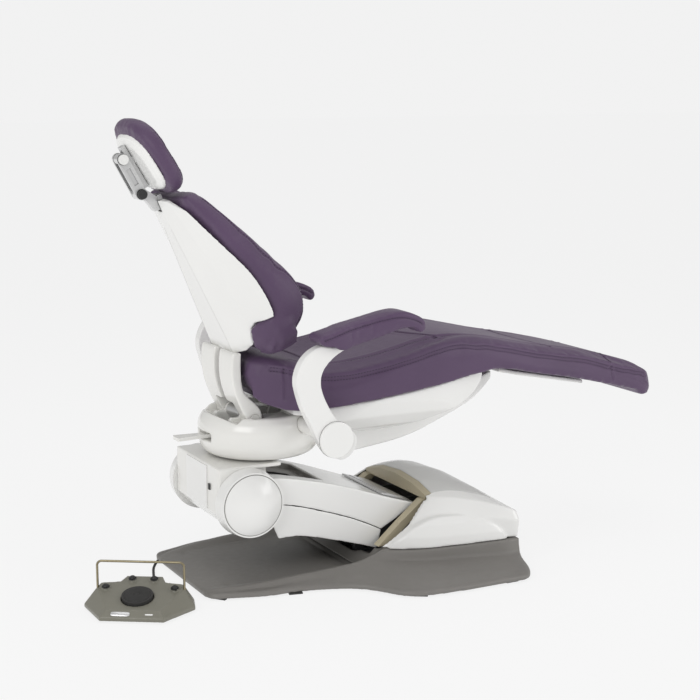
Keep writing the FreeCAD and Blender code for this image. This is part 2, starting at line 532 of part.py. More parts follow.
arm_out = [(-254, 620), (-259, 590), (-259, 559), (-251, 515), (-240, 485), (-224, 452), (-216, 438)]
arm_in = [(-174, 440), (-182, 468), (-200, 488), (-223, 512), (-232, 557), (-233, 590), (-231, 618)]
straps = []
for side in (-1, 1):
    y0 = 16 if side > 0 else -105
    strap = shape_xz([arm_out, [(-216, 438), (-210, 424), (-195, 419), (-180, 424), (-174, 440)], arm_in,
                      [(-231, 618), (-254, 620)]], y0, y0 + 89)
    strap = strap.cut(bar_y(RECLINE, 12 + RUN, -200, 200)).cut(shell_body)
    straps.append(strap)
straps = [b.cut(box(-250, -140, -58, 58, 400, 478)) for b in straps]
save("back_arms", Part.makeCompound(straps))
crank_arm = [(-205, 440), (-204, 374), (-186, 374), (-185, 440)]
crank = bar_y(RECLINE, 20, -41, 41).fuse(prism_xz(crank_arm, -36, -22)).fuse(prism_xz(crank_arm, 22, 36))
crank = crank.fuse(bar_y(pin, 7, -30, 30)).cut(bar_y(RECLINE, 12 + RUN, -200, 200))
save("back_crank", crank.removeSplitter())

# ---- headrest ----


def head_frame(shape):
    turned = shape.copy()
    turned.rotate(V(0, 0, 0), V(0, 1, 0), -HEAD_LEAN)
    turned.translate(V(HEAD_AT[0], 0, HEAD_AT[1]))
    return turned


def oval(half, up, down, nose, at):
    ring = []
    for k in range(40):
        a = 2 * math.pi * (k + 0.5) / 40
        c = math.cos(a)
        d = math.sin(a)
        height = up if d > 0 else down
        wide = half * math.copysign(abs(c) ** nose, c)
        ring.append(V(at, wide, height * math.copysign(abs(d) ** nose, d)))
    return Part.makePolygon(ring + ring[:1])


bar_part = lean(Part.makeBox(9, 42, 150, V(5.5, -21, 290)))
bracket = [(-447, 1014), (-424, 986), (-402, 992), (-409, 1018), (-448, 1042)]
bar_part = bar_part.fuse(prism_xz(bracket, -12, 12))
bar_part = bar_part.fuse(bar_y(HEAD_LOW, 15, -12, 12)).cut(bar_y(HEAD_LOW, 7 + RUN, -50, 50))
save("headrest_bar", bar_part.removeSplitter())
hx = HEAD_HIGH[0] - HEAD_LOW[0]
hz = HEAD_HIGH[1] - HEAD_LOW[1]
hn = math.hypot(hx, hz)
px = -hz / hn * 15
pz = hx / hn * 15
plate_xz = [(HEAD_LOW[0] + px, HEAD_LOW[1] + pz), (HEAD_HIGH[0] + px, HEAD_HIGH[1] + pz),
            (HEAD_HIGH[0] - px, HEAD_HIGH[1] - pz), (HEAD_LOW[0] - px, HEAD_LOW[1] - pz)]
link_parts = []
for y0, y1 in ((-19, -12.2), (12.2, 19)):
    side_plate = prism_xz(plate_xz, y0, y1).fuse(bar_y(HEAD_LOW, 15, y0, y1))
    link_parts.append(side_plate.fuse(bar_y(HEAD_HIGH, 15, y0, y1)))
link_parts.append(bar_y(HEAD_LOW, 7, -19, 19))
link_parts.append(bar_y(HEAD_HIGH, 7, -19, 19))
slot_xz = []
for a, b in ((0.4, 0.27), (0.4, 0.73), (-0.4, 0.73), (-0.4, 0.27)):
    slot_xz.append((HEAD_LOW[0] + px * a + hx * b, HEAD_LOW[1] + pz * a + hz * b))
link_parts = fuse(link_parts)
for y0 in (-19.5, 16):
    link_parts = link_parts.cut(prism_xz(slot_xz, y0, y0 + 3.5))
save("headrest_link", link_parts)
save("headrest_knob", bar_y(HEAD_LOW, 12, -28, -19.2).fuse(bar_y(HEAD_LOW, 12, 19.2, 28)))
save("headrest_link_caps", bar_y(HEAD_HIGH, 13, -26, -19.2).fuse(bar_y(HEAD_HIGH, 13, 19.2, 26)))
head = Part.makeLoft([oval(124, 127, 75, 0.74, 0.3), oval(129, 132, 80, 0.74, 14),
                      oval(128, 131, 80, 0.74, 32), oval(114, 118, 68, 0.74, 47)], True, True)
save("headrest_cushion", head_frame(head))
head_shell = Part.makeLoft([oval(110, 106, 60, 0.78, 0), oval(104, 99, 54, 0.78, -9),
                            oval(84, 78, 42, 0.78, -16)], True, True)
rail = box(-31, -18.5, -11.5, 11.5, -38, 82)
rail = head_frame(rail).fuse(prism_xz([(-520, 1112), (-478, 1096), (-470, 1120), (-505, 1134)], -11.5, 11.5))
rail = rail.fuse(bar_y(HEAD_HIGH, 14, -11.5, 11.5)).cut(bar_y(HEAD_HIGH, 7 + RUN, -50, 50))
rail = rail.cut(head_frame(head_shell))
save("headrest_shell", head_frame(head_shell))
save("headrest_lug", rail.removeSplitter())

# ---- armrests ----
pad_top = [(-131, 680), (-131, 687), (-114, 694), (-68, 706), (10, 723), (89, 737), (113, 737),
           (145, 726), (178, 705), (182, 689), (174, 680), (158, 680)]
pad_low = [(158, 680), (150, 690), (130, 696), (69, 682), (-29, 659), (-68, 652), (-90, 659),
           (-114, 664), (-131, 680)]
rest_out = [(-114, 663), (-140, 652), (-160, 636), (-179, 603), (-184, 575), (-179, 547),
            (-165, 504), (-146, 466), (-111, 399), (-96, 379)]
rest_in = [(-30, 440), (-61, 461), (-92, 503), (-111, 544), (-116, 569), (-111, 596), (-95, 618),
           (-66, 640), (0, 664)]
for name, side in (("right", -1), ("left", 1)):
    yc = side * ARMREST_Y
    pad = shape_xz([pad_top, pad_low], yc - 38, yc + 38)
    pad_plan = shape_xy([[(-140, yc - 24), (-131, yc - 33), (-60, yc - 37.5), (100, yc - 37.5),
                          (165, yc - 33), (185, yc - 20), (186, yc), (185, yc + 20),
                          (165, yc + 33), (100, yc + 37.5),
                          (-60, yc + 37.5), (-131, yc + 33), (-140, yc + 24)],
                         [(-140, yc + 24), (-140, yc - 24)]], 600, 800)
    pad = pad.common(pad_plan)
    strap = shape_xz([rest_out, [(-96, 379), (-61, 366)], [(-61, 366), (-28, 380), (-14, 413), (-30, 440)],
                      rest_in, [(0, 664), (0, 672)], [(0, 672), (-60, 658), (-114, 663)]], yc - 15, yc + 15)
    seat_of_pad = [[(-114, 662), (-60, 657), (0, 671.5)], [(0, 671.5), (0, 640)],
                   [(0, 640), (-200, 600)], [(-200, 600), (-200, 655)], [(-200, 655), (-114, 662)]]
    pad = pad.cut(shape_xz(seat_of_pad, yc - 17, yc + 17))
    strap = strap.cut(bar_y(ARMREST_HUB, 20 + RUN, yc - 30, yc + 30))
    inner_face = yc - side * 15
    reach = sorted((inner_face, inner_face - side * 8))
    boss = bar_y(ARMREST_HUB, 40, reach[0], reach[1])
    strap = strap.fuse(boss.cut(bar_y(ARMREST_HUB, 20 + RUN, -400, 400)))
    strap = strap.cut(pad)
    save("armrest_pad_" + name, pad)
    save("armrest_support_" + name, strap.removeSplitter())
    out_face = yc + side * 15.3
    disc = bar_y(ARMREST_HUB, 47, min(out_face, out_face + side * 9), max(out_face, out_face + side * 9))
    disc = disc.makeFillet(3, [e for e in disc.Edges if abs(e.BoundBox.YMin - (out_face + side * 9)) < 0.01
                               and abs(e.BoundBox.YMax - (out_face + side * 9)) < 0.01])
    save("armrest_cap_" + name, disc)

# ---- foot control ----
floor_ring = [(-80, -112), (80, -112), (142, -15), (130, 38), (105, 44), (60, 50), (50, 78), (-50, 78),
              (-60, 50), (-105, 44), (-130, 38), (-142, -15)]
top_ring = [(-67, -95), (67, -95), (112, 4), (106, 24), (98, 27), (58, 32), (46, 58), (-46, 58), (-58, 32),
            (-98, 27), (-106, 24), (-112, 4)]


def pedal_z(y):
    return PEDAL_FRONT_Z + (y + 95) * PEDAL_SLOPE


low = Part.makePolygon([V(x, y, 4) for x, y in floor_ring + floor_ring[:1]])
rim = Part.makePolygon([V(x, y, 13) for x, y in floor_ring + floor_ring[:1]])
high = Part.makePolygon([V(x, y, pedal_z(y)) for x, y in top_ring + top_ring[:1]])
case = Part.makeLoft([low, rim], True, True).fuse(Part.makeLoft([rim, high], True, True))
tilt = math.degrees(math.atan(PEDAL_SLOPE))


def on_top(shape, x, y, dz=0.0):
    turned = shape.copy()
    turned.rotate(V(0, 0, 0), V(1, 0, 0), tilt)
    turned.translate(V(x, y, pedal_z(y) + dz))
    return turned


spots = [(-88, -2), (-28, 38), (28, 38), (88, -2)]
DISC_AT = (0, -38)
case = case.cut(on_top(Part.makeCylinder(41, 14, V(0, 0, -13)), *DISC_AT))
for x, y in spots:
    case = case.fuse(on_top(Part.makeCone(11, 10, 12, V(0, 0, -6)), x, y))
    case = case.cut(on_top(Part.makeCylinder(8.3, 30, V(0, 0, -12)), x, y))
guard_pts = [V(-111, 6, 20), V(-111, 6, GUARD_TOP - 12), V(-99, 6, GUARD_TOP), V(99, 6, GUARD_TOP),
             V(111, 6, GUARD_TOP - 12), V(111, 6, 20)]
corner_a = Part.Arc(guard_pts[1], V(-111 + 3.5, 6, GUARD_TOP - 3.5), guard_pts[2]).toShape()
corner_b = Part.Arc(guard_pts[3], V(111 - 3.5, 6, GUARD_TOP - 3.5), guard_pts[4]).toShape()
path = Part.Wire([Part.makeLine(guard_pts[0], guard_pts[1]), corner_a,
                  Part.makeLine(guard_pts[2], guard_pts[3]), corner_b,
                  Part.makeLine(guard_pts[4], guard_pts[5])])
ring = Part.Wire([Part.Circle(guard_pts[0], V(0, 0, 1), 3).toShape()])
guard = path.makePipeShell([ring], True, True)
case = case.cut(guard)
save("foot_control_case", pedal(case.removeSplitter()))
save("foot_control_guard", pedal(guard))
save("foot_disc", pedal(on_top(Part.makeCylinder(39.5, 12.5, V(0, 0, -5)), *DISC_AT)))
for k, (x, y) in enumerate(spots):
    stem = Part.makeCylinder(8.2, 17, V(0, 0, -5))
    stem = stem.makeFillet(5, [e for e in stem.Edges if abs(e.BoundBox.ZMin - 12) < 0.01])
    save("foot_button_" + str(k + 1), pedal(on_top(stem, x, y)))
feet_at = ((-70, -90), (70, -90), (-110, 20), (110, 20))
feet = [pedal(Part.makeCylinder(9, 3.8, V(x, y, 0))) for x, y in feet_at]
save("rubber_feet", Part.makeCompound(pads + feet))
cord = Part.BSplineCurve()
start = pedal(Part.Vertex(0, 78.4, 9)).Point
cord.interpolate([start, V(start.x + 26, start.y + 42, 8), V(-425, 60, 5), V(-395, 130, 5), V(-379, 150, 9)])
path = Part.Wire([cord.toShape()])
ring = Part.Wire([Part.Circle(start, cord.tangent(cord.FirstParameter)[0], 3.6).toShape()])
save("foot_control_cord", path.makePipeShell([ring], True, True))
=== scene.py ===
"""Looks of a reclining treatment chair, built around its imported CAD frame."""
import json
import math

import bpy
import numpy as np
from mathutils import Matrix, Vector
from mathutils.bvhtree import BVHTree
from mathutils.kdtree import KDTree


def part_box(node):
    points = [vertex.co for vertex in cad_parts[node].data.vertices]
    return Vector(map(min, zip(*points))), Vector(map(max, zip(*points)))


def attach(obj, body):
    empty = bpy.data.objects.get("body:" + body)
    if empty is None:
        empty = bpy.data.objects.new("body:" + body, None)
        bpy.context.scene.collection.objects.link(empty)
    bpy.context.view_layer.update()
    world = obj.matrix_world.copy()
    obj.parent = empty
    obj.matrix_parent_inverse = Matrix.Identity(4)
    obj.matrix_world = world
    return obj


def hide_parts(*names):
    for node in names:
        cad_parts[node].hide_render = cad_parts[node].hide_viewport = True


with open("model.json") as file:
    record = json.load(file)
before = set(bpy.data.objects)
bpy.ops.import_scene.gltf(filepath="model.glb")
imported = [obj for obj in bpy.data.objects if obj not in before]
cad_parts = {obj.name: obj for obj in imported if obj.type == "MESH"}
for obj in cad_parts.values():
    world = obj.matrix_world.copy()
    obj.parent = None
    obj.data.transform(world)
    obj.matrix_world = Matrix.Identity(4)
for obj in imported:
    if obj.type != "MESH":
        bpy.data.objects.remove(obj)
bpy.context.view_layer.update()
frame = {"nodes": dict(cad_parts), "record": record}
N = frame["nodes"]
scene = bpy.context.scene
scene.view_settings.view_transform = "Standard"
scene.view_settings.look = "None"

# ---------------------------------------------------------------- materials


def mix(nt, kind, blend="MIX"):
    n = nt.nodes.new("ShaderNodeMix")
    n.data_type = kind
    if kind == "RGBA":
        n.blend_type = blend
    return n


def texture(nt, coord, kind, scale, detail=2.0):
    n = nt.nodes.new(kind)
    n.inputs["Scale"].default_value = scale
    if "Detail" in n.inputs:
        n.inputs["Detail"].default_value = detail
    nt.links.new(coord, n.inputs["Vector"])
    return n


def spread(nt, value, lo, hi):
    n = nt.nodes.new("ShaderNodeMapRange")
    n.inputs["To Min"].default_value = lo
    n.inputs["To Max"].default_value = hi
    nt.links.new(value, n.inputs["Value"])
    return n.outputs["Result"]


def surface(name, color, rough, metal=0.0, coat=0.0, sheen=0.0, vary=0.05, blotch=6.0, grain=0.0,
            grain_scale=900.0, cells=False, rough_vary=0.06, wear=0.0, wear_color=None, corner_shade=0.0,
            brushed=False):
    """A node material: cloudy tone, worn edges, painted shade in occluded corners, uneven roughness and a
    bumped grain.
    """
    mat = bpy.data.materials.new(name)
    mat.use_nodes = True
    nt = mat.node_tree
    bsdf = nt.nodes["Principled BSDF"]
    coord = nt.nodes.new("ShaderNodeTexCoord").outputs["Object"]
    cloud = texture(nt, coord, "ShaderNodeTexNoise", blotch, 4.0)
    tone = mix(nt, "RGBA")
    dark = [c * (1 - vary) for c in color] + [1]
    light = [min(1.0, c * (1 + vary)) for c in color] + [1]
    tone.inputs["A"].default_value = dark
    tone.inputs["B"].default_value = light
    nt.links.new(spread(nt, cloud.outputs["Fac"], -0.4, 1.4), tone.inputs["Factor"])
    out = tone.outputs["Result"]
    if wear > 0:
        geo = nt.nodes.new("ShaderNodeNewGeometry")
        edge = nt.nodes.new("ShaderNodeMapRange")
        edge.inputs["From Min"].default_value = 0.52
        edge.inputs["From Max"].default_value = 0.62
        edge.inputs["To Max"].default_value = wear
        nt.links.new(geo.outputs["Pointiness"], edge.inputs["Value"])
        worn = mix(nt, "RGBA")
        worn.inputs["B"].default_value = list(wear_color or [min(1.0, c * 1.9 + 0.03) for c in color]) + [1]
        nt.links.new(edge.outputs["Result"], worn.inputs["Factor"])
        nt.links.new(out, worn.inputs["A"])
        out = worn.outputs["Result"]
    # Painted shade: the base colour is darkened where ambient occlusion finds corners, creases and gaps.
    if corner_shade > 0:
        ao = nt.nodes.new("ShaderNodeAmbientOcclusion")
        ao.samples = 4
        ao.inputs["Distance"].default_value = 0.02
        shade_mix = mix(nt, "RGBA")
        shade_mix.inputs["A"].default_value = [c * (1 - corner_shade) for c in color] + [1]
        nt.links.new(ao.outputs["AO"], shade_mix.inputs["Factor"])
        nt.links.new(out, shade_mix.inputs["B"])
        out = shade_mix.outputs["Result"]
    nt.links.new(out, bsdf.inputs["Base Color"])
    fine = texture(nt, coord, "ShaderNodeTexNoise", 55.0, 3.0)
    uneven = spread(nt, fine.outputs["Fac"], rough - rough_vary, rough + rough_vary)
    nt.links.new(uneven, bsdf.inputs["Roughness"])
    bsdf.inputs["Metallic"].default_value = metal
    bsdf.inputs["Coat Weight"].default_value = coat
    bsdf.inputs["Coat Roughness"].default_value = 0.12
    bsdf.inputs["Sheen Weight"].default_value = sheen
    bsdf.inputs["Sheen Roughness"].default_value = 0.4
    if grain > 0:
        bump = nt.nodes.new("ShaderNodeBump")
        bump.inputs["Strength"].default_value = grain
        bump.inputs["Distance"].default_value = 0.0006
        if brushed:
            stretch = nt.nodes.new("ShaderNodeMapping")
            stretch.inputs["Scale"].default_value = (1, 14, 1)
            nt.links.new(coord, stretch.inputs["Vector"])
            coord = stretch.outputs["Vector"]
        if cells:
            pebble = texture(nt, coord, "ShaderNodeTexVoronoi", grain_scale)
            pebble.feature = "SMOOTH_F1"
            wrinkle = texture(nt, coord, "ShaderNodeTexNoise", grain_scale * 0.16, 4.0)
            both = nt.nodes.new("ShaderNodeMath")
            both.operation = "ADD"
            nt.links.new(pebble.outputs["Distance"], both.inputs[0])
            nt.links.new(wrinkle.outputs["Fac"], both.inputs[1])
            nt.links.new(both.outputs[0], bump.inputs["Height"])
        else:
            speck = texture(nt, coord, "ShaderNodeTexNoise", grain_scale, 3.0)
            nt.links.new(speck.outputs["Fac"], bump.inputs["Height"])
        nt.links.new(bump.outputs["Normal"], bsdf.inputs["Normal"])
    return mat


PURPLE = (0.100, 0.062, 0.118)
LEATHER = surface("purple_leather", PURPLE, 0.44, sheen=0.08, vary=0.10, grain=0.35, grain_scale=620,
                  cells=True, wear=0.22, corner_shade=0.35)
THREAD = surface("purple_thread", (0.032, 0.020, 0.042), 0.75, vary=0.2, grain=0.6, grain_scale=2400)
WHITE = surface("white_plastic", (0.86, 0.857, 0.84), 0.24, coat=0.35, vary=0.012, grain=0.04,
                grain_scale=150, rough_vary=0.03)
ENAMEL = surface("white_enamel", (0.84, 0.832, 0.80), 0.20, coat=0.5, vary=0.015, grain=0.08,
                 grain_scale=180, rough_vary=0.05)
TAUPE = surface("taupe_plastic", (0.205, 0.195, 0.182), 0.42, vary=0.06, grain=0.25, grain_scale=700,
                rough_vary=0.10, wear=0.18, corner_shade=0.30)
TOP_GREY = surface("pale_grey_panel", (0.62, 0.618, 0.605), 0.32, coat=0.12, vary=0.03, grain=0.12,
                   grain_scale=500, corner_shade=0.2)
BEIGE = surface("beige_trim", (0.42, 0.37, 0.26), 0.42, vary=0.06, grain=0.2, grain_scale=600, wear=0.2,
                corner_shade=0.3)
PAN_GREY = surface("recess_grey", (0.30, 0.29, 0.275), 0.45, vary=0.05, grain=0.2, grain_scale=500,
                   rough_vary=0.05)
LINER = surface("dark_liner", (0.22, 0.215, 0.20), 0.5, vary=0.08, grain=0.25, grain_scale=700)
BLACK = surface("black_plastic", (0.018, 0.018, 0.018), 0.42, vary=0.2, grain=0.2, grain_scale=900,
                wear=0.25)
RUBBER = surface("black_rubber", (0.028, 0.027, 0.026), 0.7, vary=0.2, grain=0.4, grain_scale=1200,
                 wear=0.15)
STEEL = surface("brushed_steel", (0.56, 0.56, 0.56), 0.32, metal=1.0, vary=0.08, grain=0.3, grain_scale=420,
                brushed=True, wear=0.3)
ALLOY = surface("cast_alloy", (0.68, 0.68, 0.68), 0.30, metal=0.85, vary=0.06, grain=0.25, grain_scale=800,
                wear=0.25, corner_shade=0.5)
CHROME = surface("chrome", (0.86, 0.86, 0.86), 0.09, metal=1.0, vary=0.03, rough_vary=0.03)
PRIMER = surface("dark_primer", (0.05, 0.05, 0.052), 0.5, vary=0.12, grain=0.25, grain_scale=700, wear=0.3)
PEDAL = surface("olive_grey_paint", (0.205, 0.198, 0.160), 0.38, coat=0.12, vary=0.07, grain=0.35,
                grain_scale=1100, wear=0.30, corner_shade=0.30)
BRONZE = surface("bronze_wire", (0.30, 0.26, 0.17), 0.30, metal=0.9, vary=0.1, grain=0.2, grain_scale=900,
                 wear=0.3)

SLOT_MATERIAL = {
    "leather": LEATHER, "white_shell": WHITE, "white_paint": ENAMEL, "base_grey": TAUPE,
    "trim_beige": BEIGE, "dark_liner": LINER, "black": BLACK, "rubber": RUBBER, "steel": STEEL,
    "aluminium": ALLOY, "chrome": CHROME, "plate_paint": PRIMER, "pedal_grey": PEDAL,
    "guard_bronze": BRONZE,
}
NODE_SLOT = {p["node"]: p["material_slot"] for p in frame["record"]["subparts"]}
for name, ob in N.items():
    ob.data.materials.clear()
    ob.data.materials.append(SLOT_MATERIAL[NODE_SLOT[name]])
for name in ("armrest_beam", "back_shaft"):
    N[name].data.materials[0] = ENAMEL
N["base_plate"].data.materials[0] = TAUPE
for mat, level in ((LEATHER, 0.28), (TAUPE, 0.35)):
    mat.node_tree.nodes["Principled BSDF"].inputs["Specular IOR Level"].default_value = level

# ---------------------------------------------------------------- helpers


def new_object(name, verts, faces, mat):
    mesh = bpy.data.meshes.new(name)
    mesh.from_pydata([tuple(v) for v in verts], [], faces)
    mesh.update()
    ob = bpy.data.objects.new(name, mesh)
    scene.collection.objects.link(ob)
    mesh.materials.append(mat)
    mesh.shade_smooth()
    return ob


def bake(ob):
    dg = bpy.context.evaluated_depsgraph_get()
    mesh = bpy.data.meshes.new_from_object(ob.evaluated_get(dg))
    ob.modifiers.clear()
    ob.data = mesh
    mesh.shade_smooth()


def coords(ob):
    co = np.empty(len(ob.data.vertices) * 3)
    ob.data.vertices.foreach_get("co", co)
    return co.reshape(-1, 3)


def normals(ob):
    no = np.empty(len(ob.data.vertices) * 3)
    ob.data.vertices.foreach_get("normal", no)
    return no.reshape(-1, 3)


def set_coords(ob, co):
    ob.data.vertices.foreach_set("co", np.ascontiguousarray(co, float).ravel())
    ob.data.update()


def mould(node, voxel, rounds):
    ob = N[node]
    skin = ob.modifiers.new("skin", "REMESH")
    skin.mode = "VOXEL"
    skin.voxel_size = voxel
    skin.use_smooth_shade = True
    soften = ob.modifiers.new("soften", "SMOOTH")
    soften.factor = 0.5
    soften.iterations = rounds


def crease_bevel(node, width, segments=3, angle=35):
    ob = N[node]
    edge = ob.modifiers.new("edge", "BEVEL")
    edge.width = width
    edge.segments = segments
    edge.limit_method = "ANGLE"
    edge.angle_limit = math.radians(angle)


def soft(name, node, body, voxel, relax, cap, pressure, hold=None):
    """A cushion grown from its CAD solid: remeshed, relaxed, swollen by cloth pressure, capped, refined."""
    mesh = N[node].data.copy()
    ob = bpy.data.objects.new(name, mesh)
    scene.collection.objects.link(ob)
    mesh.materials.clear()
    mesh.materials.append(LEATHER)
    skin = ob.modifiers.new("skin", "REMESH")
    skin.mode = "VOXEL"
    skin.voxel_size = voxel
    bake(ob)
    ease = ob.modifiers.new("ease", "SMOOTH")
    ease.factor = 0.5
    ease.iterations = relax
    bake(ob)
    rest = coords(ob)
    group = ob.vertex_groups.new(name="hold")
    held = hold(rest) if hold else np.zeros(len(rest))
    for i in np.nonzero(held > 0.01)[0]:
        group.add([int(i)], float(held[i]), "REPLACE")
    cloth = ob.modifiers.new("swell", "CLOTH")
    s = cloth.settings
    s.quality = 4
    s.mass = 0.3
    s.tension_stiffness = 12
    s.compression_stiffness = 12
    s.shear_stiffness = 4
    s.bending_stiffness = 0.6
    s.use_pressure = True
    s.uniform_pressure_force = pressure
    s.effector_weights.gravity = 0
    s.vertex_group_mass = "hold"
    cloth.point_cache.frame_start = 1
    cloth.point_cache.frame_end = 20
    for f in range(1, 21):
        scene.frame_set(f)
    bake(ob)
    scene.frame_set(1)
    move = coords(ob) - rest
    length = np.linalg.norm(move, axis=1)
    keep = cap * np.tanh(length / cap) / np.maximum(length, 1e-9)
    set_coords(ob, rest + move * keep[:, None])
    ob.vertex_groups.clear()
    settle = ob.modifiers.new("settle", "SMOOTH")
    settle.iterations = 3
    bake(ob)
    smooth = ob.modifiers.new("fine", "SUBSURF")
    smooth.levels = 1
    smooth.render_levels = 1
    bake(ob)
    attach(ob, body)
    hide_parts(node)
    return ob


def tree_of(ob):
    points = [v.co[:] for v in ob.data.vertices]
    return BVHTree.FromPolygons(points, [p.vertices[:] for p in ob.data.polygons])


def resample(points, step):
    pts = [Vector(p) for p in points]
    out = [pts[0].copy()]
    left = step
    for a, b in zip(pts, pts[1:]):
        seg = (b - a).length
        at = left
        while at <= seg:
            out.append(a.lerp(b, at / seg))
            at += step
        left = at - seg
    return out


def catmull(points, per=8):
    pts = [Vector(p) for p in points]
    ext = [pts[0] * 2 - pts[1]] + pts + [pts[-1] * 2 - pts[-2]]
    out = []
    for i in range(1, len(ext) - 2):
        p0, p1, p2, p3 = ext[i - 1:i + 3]
        for k in range(per):
            t = k / per
            out.append(0.5 * ((2 * p1) + (p2 - p0) * t + (2 * p0 - 5 * p1 + 4 * p2 - p3) * t * t
                              + (3 * p1 - p0 - 3 * p2 + p3) * t ** 3))
    out.append(pts[-1].copy())
    return out


def groove(ob, path, width, depth, swell=0.35):
    """Pulls the surface in along a path, with a small roll either side, as a sewn seam does."""
    pts = resample(path, 0.002)
    kd = KDTree(len(pts))
    for i, p in enumerate(pts):
        kd.insert(p, i)
    kd.balance()
    lo = np.min([p[:] for p in pts], axis=0) - 4 * width
    hi = np.max([p[:] for p in pts], axis=0) + 4 * width
    co = coords(ob)
    no = normals(ob)
    near = np.nonzero(np.all((co > lo) & (co < hi), axis=1))[0]
    for i in near:
        d = kd.find(co[i])[2]
        if d < 4 * width:
            dip = -depth * math.exp(-(d / width) ** 2)
            roll = swell * depth * math.exp(-((d - 2 * width) / width) ** 2)
            co[i] += no[i] * (dip + roll)
    set_coords(ob, co)


def stitches(name, hits, body, pitch=0.0085, length=0.0055, radius=0.0007, lift=0.0002, mat=None):
    """Single thread stitches laid along a path of (point, normal) pairs."""
    pts = [h[0] for h in hits]
    kd = KDTree(len(pts))
    for i, p in enumerate(pts):
        kd.insert(p, i)
    kd.balance()
    line = resample(pts, pitch)
    verts = []
    faces = []
    for a, b in zip(line, line[1:]):
        along = (b - a).normalized()
        up = hits[kd.find(a)[1]][1]
        side = along.cross(up).normalized()
        up = side.cross(along).normalized()
        base = len(verts)
        for s, r in ((-0.5, 0.3), (-0.3, 1.0), (0.3, 1.0), (0.5, 0.3)):
            for k in range(6):
                ang = math.pi * k / 3
                verts.append(a + along * (s * length) + side * (math.cos(ang) * radius * r)
                             + up * (math.sin(ang) * radius * r + lift))
        for ring in range(3):
            for k in range(6):
                p = base + ring * 6
                faces.append((p + k, p + (k + 1) % 6, p + 6 + (k + 1) % 6, p + 6 + k))
        faces.append(tuple(base + k for k in reversed(range(6))))
        faces.append(tuple(base + 18 + k for k in range(6)))
    ob = new_object(name, verts, faces, mat or THREAD)
    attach(ob, body)
    return ob


def tube(name, path, radius, body, mat, sides=10, closed=False, flat=1.0, ups=None):
    """A round or flattened cord swept along a path."""
    pts = [Vector(p) for p in path]
    n = len(pts)
    verts = []
    faces = []
    last = None
    for i, p in enumerate(pts):
        before = pts[i - 1] if (i > 0 or closed) else p
        after = pts[(i + 1) % n] if (i < n - 1 or closed) else p
        along = (after - before).normalized()
        if ups is not None:
            up = ups[i] - along * ups[i].dot(along)
        elif last is None:
            up = Vector((0, 0, 1)) if abs(along.z) < 0.9 else Vector((1, 0, 0))
            up = up - along * up.dot(along)
        else:
            up = last - along * last.dot(along)
        up.normalize()
        last = up
        side = along.cross(up)
        for k in range(sides):
            ang = 2 * math.pi * k / sides
            verts.append(p + side * (math.cos(ang) * radius) + up * (math.sin(ang) * radius * flat))
    rings = n if closed else n - 1
    for i in range(rings):
        a = i * sides
        b = ((i + 1) % n) * sides
        for k in range(sides):
            faces.append((a + k, a + (k + 1) % sides, b + (k + 1) % sides, b + k))
    if not closed:
        faces.append(tuple(reversed(range(sides))))
        faces.append(tuple((n - 1) * sides + k for k in range(sides)))
    ob = new_object(name, verts, faces, mat)
    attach(ob, body)
    return ob


def lathe(name, profile, centre, axis, body, mat, sides=48):
    """A turned piece: profile is (radius, height) along axis from centre, starting and ending on the axis."""
    axis = Vector(axis).normalized()
    u = axis.orthogonal().normalized()
    v = axis.cross(u)
    c = Vector(centre)
    verts = [c + axis * profile[0][1]]
    faces = []
    inner = profile[1:-1]
    for r, h in inner:
        for k in range(sides):
            a = 2 * math.pi * k / sides
            verts.append(c + axis * h + u * (math.cos(a) * r) + v * (math.sin(a) * r))
    verts.append(c + axis * profile[-1][1])
    for k in range(sides):
        faces.append((0, 1 + (k + 1) % sides, 1 + k))
    for i in range(len(inner) - 1):
        a = 1 + i * sides
        b = a + sides
        for k in range(sides):
            faces.append((a + k, a + (k + 1) % sides, b + (k + 1) % sides, b + k))
    last = 1 + (len(inner) - 1) * sides
    for k in range(sides):
        faces.append((last + k, last + (k + 1) % sides, len(verts) - 1))
    ob = new_object(name, verts, faces, mat)
    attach(ob, body)
    return ob


# ---------------------------------------------------------------- moulded shells of the frame

for node, voxel, rounds in (
        ("pump_cover", 0.0028, 10), ("base_cover", 0.0040, 5), ("arm_cover_upper", 0.0018, 16),
        ("arm_cover_lower", 0.0022, 6), ("turret_housing", 0.0026, 8), ("upper_housing", 0.0026, 8),
        ("seat_keel", 0.0032, 12), ("seat_pan", 0.0034, 10), ("backrest_shell", 0.0017, 18),
        ("headrest_shell", 0.0022, 8), ("armrest_support_right", 0.0022, 10),
        ("armrest_support_left", 0.0022, 10), ("back_arms", 0.0022, 8), ("legrest_panel", 0.0030, 4),
        ("foot_control_case", 0.0020, 3)):
    mould(node, voxel, rounds)
EDGE_RADIUS = 0.0018
for node in ("pivot_collars", "pivot_caps", "armrest_cap_right", "armrest_cap_left", "headrest_link_caps",
             "headrest_knob", "foot_disc", "swivel_brake", "headrest_link", "headrest_lug", "headrest_bar"):
    crease_bevel(node, EDGE_RADIUS)

# ---------------------------------------------------------------- cushions


def seat_hold(co):
    """The seat is glued to its pan underneath, so only its top and sides swell."""
    probe = tree_seat
    held = np.zeros(len(co))
    for i, p in enumerate(co):
        hit = probe.ray_cast(Vector((p[0], p[1], 2.0)), Vector((0, 0, -1)))[0]
        if hit is not None and hit.z - p[2] > 0.045:
            held[i] = 1.0
    return held


tree_seat = tree_of(N["seat_cushion"])
seat = soft("seat_upholstery", "seat_cushion", "seat", 0.0070, 4, 0.010, 3.0, seat_hold)
back = soft("backrest_upholstery", "backrest_cushion", "backrest", 0.0060, 8, 0.011, 3.5)
head = soft("headrest_upholstery", "headrest_cushion", "headrest", 0.0050, 6, 0.004, 2.0)
pads = [soft("armrest_upholstery_" + side, "armrest_pad_" + side, "armrest_" + side, 0.0045, 4, 0.004, 3.0)
        for side in ("right", "left")]

# ---------------------------------------------------------------- seams and stitching on the seat


